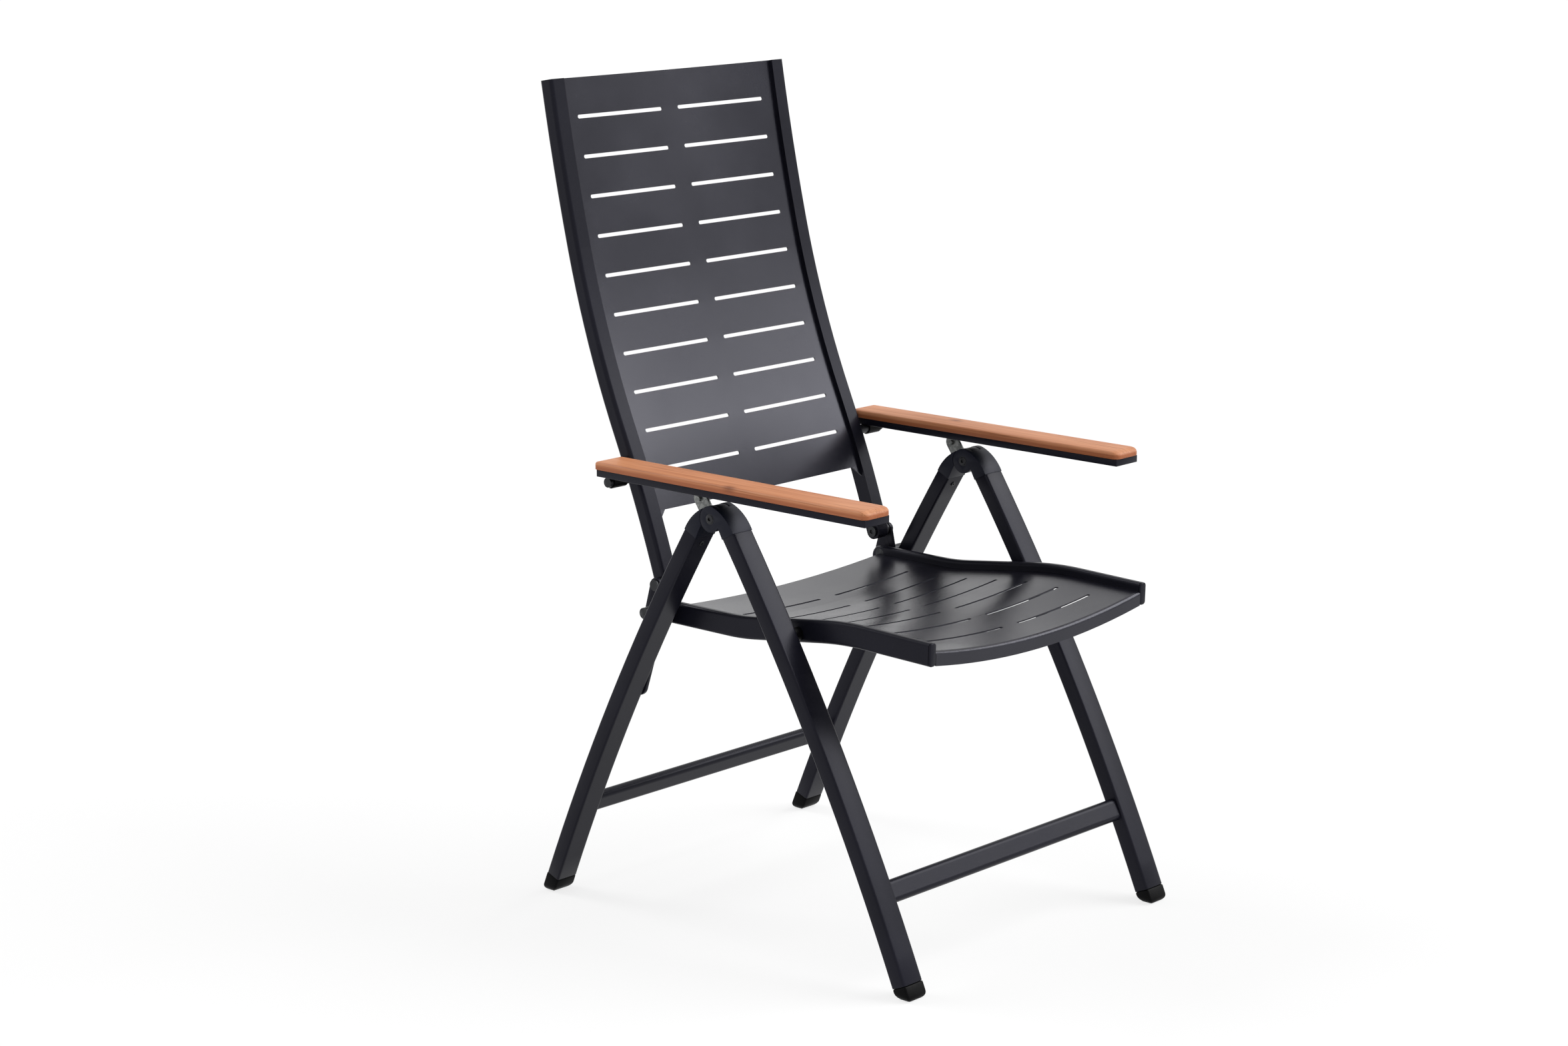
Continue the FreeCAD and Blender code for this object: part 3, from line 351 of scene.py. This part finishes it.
knuckleAxis = (0.0, -0.004381, 0.566)
legLook = {"inner": 0.235, "width": 0.036, "depth": 0.0215, "crown": 0.0009, "slices": 8, "bends": 16,
           "edge": 0.0026, "edgeSpare": 1e-4, "end": 0.0007}
footLook = {"lip": 0.0001, "corner": 0.0026, "rim": 0.0095, "top": 0.0005, "spare": 0.03, "sharp": 40}
legFrames = {
    "front": {"way": -1, "lean": 28.5, "offset": 0.0185, "bow": 0.013, "top": 0.031, "length": 0.60399,
              "reach": 0.0191},
    "rear": {"way": 1, "lean": 27.0, "offset": 0.0205, "bow": 0.0115, "top": 0.037, "length": 0.58198,
             "reach": 0.0267},
}


def legAcross(side):  # the middle of a leg
    return sides[side] * (legLook["inner"] + legLook["width"] / 2)


def leanOn(piece, spec):  # from the leg's own line to its place in the chair
    piece.location = knuckleAxis
    piece.rotation_euler = (math.radians(spec["way"] * spec["lean"]), 0, 0)
    intoMesh(piece)


def endTurn(spec):  # of the bowed leg's lower end
    return -spec["way"] * 2 * math.atan(2 * spec["bow"] / spec["length"])


def makeLeg(kind, side):
    spec, width, depth = legFrames[kind], legLook["width"], legLook["depth"]
    middle = Vector((legAcross(side), spec["way"] * spec["offset"], -spec["top"] - spec["length"] / 2))
    leg = block(f"{kind}Leg{side.title()}", (width, depth, spec["length"]), middle)
    steps = [step / legLook["slices"] - 0.5 for step in range(1, legLook["slices"])]
    cutAcross(leg, [middle + Vector((width * step, 0, 0)) for step in steps], (1, 0, 0))
    bends = [step / legLook["bends"] - 0.5 for step in range(1, legLook["bends"])]
    cutAcross(leg, [middle + Vector((0, 0, spec["length"] * bend)) for bend in bends], (0, 0, 1))
    face = middle.y + spec["way"] * depth / 2
    for spot in leg.data.vertices:
        if abs(spot.co.y - face) < near:
            across = (spot.co.x - middle.x) / (width / 2)
            spot.co.y += spec["way"] * legLook["crown"] * (1 - across ** 2)
    rim = width / 2 - legLook["edge"] - legLook["edgeSpare"]
    roundEdges(leg, legLook["edge"], 4, lambda mid, way: runs(way, "z") and abs(mid.x - middle.x) > rim)
    reach = spec["length"] / 2 - near
    roundEdges(leg, legLook["end"], 2, lambda mid, way: abs(mid.z - middle.z) > reach
               and (runs(way, "x") or abs(mid.x - middle.x) > rim))
    for spot in leg.data.vertices:
        share = 2 * (middle.z - spot.co.z) / spec["length"]
        square = math.sin(endTurn(spec)) * max(share, 0) ** 2  # square to the foot
        spot.co.z += (spot.co.y - middle.y) * square
        spot.co.y += spec["way"] * spec["bow"] * (1 - share ** 2)
    leanOn(leg, spec)
    dress(leg, f"{kind}_leg_{side}")


def footPlace(spec):  # from the end of the leg to the chair
    lean = Matrix.Rotation(math.radians(spec["way"] * spec["lean"]), 4, "X")
    tip = Vector((0, spec["way"] * spec["offset"], -spec["top"] - spec["length"]))
    turn = Matrix.Rotation(endTurn(spec), 4, "X")
    return Matrix.Translation(knuckleAxis) @ lean @ Matrix.Translation(tip) @ turn


def makeFoot(kind, side):
    spec, lip, crown = legFrames[kind], footLook["lip"], legLook["crown"]
    size = Vector((legLook["width"] + 2 * lip, legLook["depth"] + 2 * lip + crown,
                   spec["reach"] + footLook["spare"]))
    centre = (legAcross(side), spec["way"] * crown / 2, -size.z / 2)
    foot = block(f"{kind}Foot{side.title()}", size, centre)
    place = footPlace(spec)
    floor = place.inverted() @ Vector((0, 0, 0))
    up = place.to_3x3().transposed() @ Vector((0, 0, 1))
    alone(foot)
    bpy.ops.object.mode_set(mode="EDIT")
    bpy.ops.mesh.select_all(action="SELECT")
    bpy.ops.mesh.bisect(plane_co=floor, plane_no=up, use_fill=True, clear_inner=True)  # level at the floor
    bpy.ops.mesh.select_all(action="SELECT")
    bpy.ops.mesh.normals_make_consistent(inside=False)
    bpy.ops.object.mode_set(mode="OBJECT")
    roundEdges(foot, footLook["rim"], 7, lambda mid, way: abs((mid - floor).dot(up)) < near)
    roundEdges(foot, footLook["corner"], 3, lambda mid, way: mid.z < -near, footLook["sharp"])
    roundEdges(foot, footLook["top"], 2, lambda mid, way: mid.z > -near)
    foot.matrix_world = place
    intoMesh(foot)
    dress(foot, f"{kind}_foot_{side}", angle=50)


for kind in legFrames:
    for side in sides:
        makeLeg(kind, side)
        makeFoot(kind, side)
print("legs and feet made")


# armrest wood with a rolled nose

armLook = {"frontCorner": 0.009, "rearCorner": 0.004, "rim": 0.0034, "under": 0.001, "nose": 0.014,
           "drop": 0.0036, "cuts": (0.004, 0.0065, 0.009, 0.0115, 0.014), "apart": 0.508}


def makeArmWood():
    low, high = (Vector(corner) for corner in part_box("armrest_wood_right"))
    wood = block("armWoodRight", high - low, (low + high) / 2)
    front, rear = low.y + near, high.y - near
    roundEdges(wood, armLook["frontCorner"], 8, lambda mid, way: runs(way, "z") and mid.y < front)
    roundEdges(wood, armLook["rearCorner"], 5, lambda mid, way: runs(way, "z") and mid.y > rear)
    roundEdges(wood, armLook["rim"], 5, lambda mid, way: mid.z > high.z - near)
    roundEdges(wood, armLook["under"], 2, lambda mid, way: mid.z < low.z + near)
    cutAcross(wood, [(0, low.y + cut, 0) for cut in armLook["cuts"]], (0, 1, 0))
    for spot in wood.data.vertices:
        inside = spot.co.y - low.y
        if inside < armLook["nose"] and spot.co.z > (low.z + high.z) / 2:
            spot.co.z -= armLook["drop"] * (1 - inside / armLook["nose"]) ** 2
    twin = copyOf(wood, "armWoodLeft", (armLook["apart"], 0, 0))
    dress(wood, "armrest_wood_right", angle=40)
    dress(twin, "armrest_wood_left", angle=40)


makeArmWood()
print("armrests made")


# castings and bars with eased edges

easedEdges = {"front_knuckle": 0.0008, "rear_knuckle": 0.0008, "armrest_channel": 0.0008,
              "seat_rail_cap": 0.0013, "link_plate": 0.0005, "prop_plate": 0.0004}
easeLook = {"flat": 1, "sharp": 38, "segments": 3}


def easeEdges(node, width):  # a welded copy of the CAD piece, its sharp edges rounded
    piece = bpy.data.objects.new(node + "Eased", nodes[node].data.copy())
    bpy.context.collection.objects.link(piece)
    alone(piece)
    bpy.ops.object.mode_set(mode="EDIT")
    bpy.ops.mesh.select_all(action="SELECT")
    bpy.ops.mesh.remove_doubles(threshold=near)
    bpy.ops.mesh.dissolve_limited(angle_limit=math.radians(easeLook["flat"]))
    bpy.ops.object.mode_set(mode="OBJECT")
    ease = piece.modifiers.new("ease", "BEVEL")
    ease.width = width
    ease.segments = easeLook["segments"]
    ease.limit_method = "ANGLE"
    ease.angle_limit = math.radians(easeLook["sharp"])
    bpy.ops.object.modifier_apply(modifier="ease")
    dress(piece, node)


for stem, width in easedEdges.items():
    for side in sides:
        easeEdges(f"{stem}_{side}", width)
print("edges eased")


# fasteners

boltLook = {"radius": 0.0058, "deep": 0.003, "proud": 0.0008, "rim": 0.0006, "socket": 0.0027,
            "socketDeep": 0.0017, "faces": (0.235, 0.271)}
screwLook = {"radius": 0.0034, "deep": 0.002, "proud": 0.0007, "rim": 0.0006, "socket": 0.0015,
             "socketDeep": 0.001, "along": 0.049}


def makeRod(radius, depth, height, corners):
    bpy.ops.object.select_all(action="DESELECT")
    bpy.ops.mesh.primitive_cylinder_add(vertices=corners, radius=radius, depth=depth, location=(0, 0, height))
    rod = bpy.context.object
    intoMesh(rod)
    return rod


def makeHead(look):  # a round head with a six sided socket, its outer face up
    head = makeRod(look["radius"], look["deep"], look["proud"] - look["deep"] / 2, corners=40)
    roundEdges(head, look["rim"], 3, lambda mid, way: mid.z > look["proud"] - near)
    tool = makeRod(look["socket"], 2 * look["socketDeep"], look["proud"], corners=6)
    alone(head)
    bite = head.modifiers.new("bite", "BOOLEAN")
    bite.operation = "DIFFERENCE"
    bite.object = tool
    bpy.ops.object.modifier_apply(modifier="bite")
    bpy.data.objects.remove(tool)
    return head


def makeBolts():
    pattern = makeHead(boltLook)
    inner, outer = boltLook["faces"]
    for side, sign in sides.items():
        for label, across, facing in (("Outer", outer, sign), ("Inner", inner, -sign)):
            head = copyOf(pattern, f"knuckleBolt{label}{side.title()}")
            head.rotation_euler = (0, math.radians(90 * facing), 0)
            head.location = (sign * across, knuckleAxis[1], knuckleAxis[2])
            intoMesh(head)
            dress(head, f"knuckle_bolt_{side}", stands=False)
    bpy.data.objects.remove(pattern)


def makeScrews():  # one in the front face of each rear leg
    pattern = makeHead(screwLook)
    spec = legFrames["rear"]
    face = spec["offset"] - legLook["depth"] / 2
    for side in sides:
        screw = copyOf(pattern, f"legScrew{side.title()}")
        screw.rotation_euler = (math.radians(90), 0, 0)
        screw.location = (legAcross(side), face, -screwLook["along"])
        intoMesh(screw)
        leanOn(screw, spec)
        dress(screw, f"knuckle_bolt_{side}", stands=False)
    bpy.data.objects.remove(pattern)


makeBolts()
makeScrews()
print("fasteners made")


# camera, floor and light

photoView = {"width": 2351, "focal": 5000.0, "azimuth": -47.67, "elevation": 12.46,
             "eye": (-3.2650, -2.8594, 1.4753), "sensor": 36.0}


def makeCamera(view):
    around, up = math.radians(view["azimuth"]), math.radians(view["elevation"])
    back = Vector((math.sin(around) * math.cos(up), -math.cos(around) * math.cos(up), math.sin(up)))
    right = Vector((math.cos(around), math.sin(around), 0))
    data = bpy.data.cameras.new("photoCamera")
    data.sensor_width = view["sensor"]
    data.lens = view["focal"] / view["width"] * view["sensor"]
    camera = bpy.data.objects.new("photoCamera", data)
    turn = Matrix((right, back.cross(right), back)).transposed().to_4x4()
    camera.matrix_world = Matrix.Translation(view["eye"]) @ turn
    bpy.context.collection.objects.link(camera)
    bpy.context.scene.camera = camera


studio = {"floorSize": 60.0, "ambient": 0.44, "shadowKeep": 0.22, "white": (1, 1, 1, 1)}
lamps = [
    {"name": "frontSoft", "from": (0.582, -0.498, 0.643), "power": 2.3, "spread": 46.0},
    {"name": "rearRim", "from": (-0.2, 0.66, 0.7), "power": 0.9, "spread": 24.0},
]


def seenRay(graph):  # 1 where the background itself is seen or mirrored
    rays = graph.tree.nodes.new("ShaderNodeLightPath")
    camera, glossy, through = (Wire(graph, rays.outputs[name]) for name in
                               ("Is Camera Ray", "Is Glossy Ray", "Is Transmission Ray"))
    return graph.maths("MAXIMUM", graph.maths("MAXIMUM", camera, glossy), through)


def makeSky():
    world = bpy.data.worlds.new("studioWorld")
    bpy.context.scene.world = world
    world.use_nodes = True
    world.node_tree.nodes.clear()
    graph = Graph(world.node_tree)
    strength = studio["ambient"] + seenRay(graph) * (1 - studio["ambient"])
    sky = graph.node("ShaderNodeBackground", {}, {"Color": studio["white"], "Strength": strength})
    graph.node("ShaderNodeOutputWorld", {}, {"Surface": sky})


def makeFloor():
    bpy.ops.object.select_all(action="DESELECT")
    bpy.ops.mesh.primitive_plane_add(size=studio["floorSize"])
    floor = bpy.context.object
    floor.name = "studioFloor"
    material, graph = newMaterial("floorPaper")
    paper = graph.node("ShaderNodeBsdfDiffuse", {}, {"Color": studio["white"]})
    glow = graph.node("ShaderNodeEmission", {}, {"Color": studio["white"], "Strength": 1.0})
    share = seenRay(graph) * (1 - studio["shadowKeep"])
    both = graph.node("ShaderNodeMixShader", {}, {0: share, 1: paper, 2: glow})
    graph.node("ShaderNodeOutputMaterial", {}, {"Surface": both})
    floor.data.materials.append(material)


def makeLamp(lamp):
    data = bpy.data.lights.new(lamp["name"], "SUN")
    data.angle = math.radians(lamp["spread"])
    data.energy = lamp["power"]
    light = bpy.data.objects.new(lamp["name"], data)
    light.rotation_euler = (-Vector(lamp["from"])).to_track_quat("-Z", "Y").to_euler()
    bpy.context.collection.objects.link(light)


makeCamera(photoView)
makeSky()
makeFloor()
for lamp in lamps:
    makeLamp(lamp)
bpy.context.scene.view_settings.view_transform = "Standard"
print("studio ready")
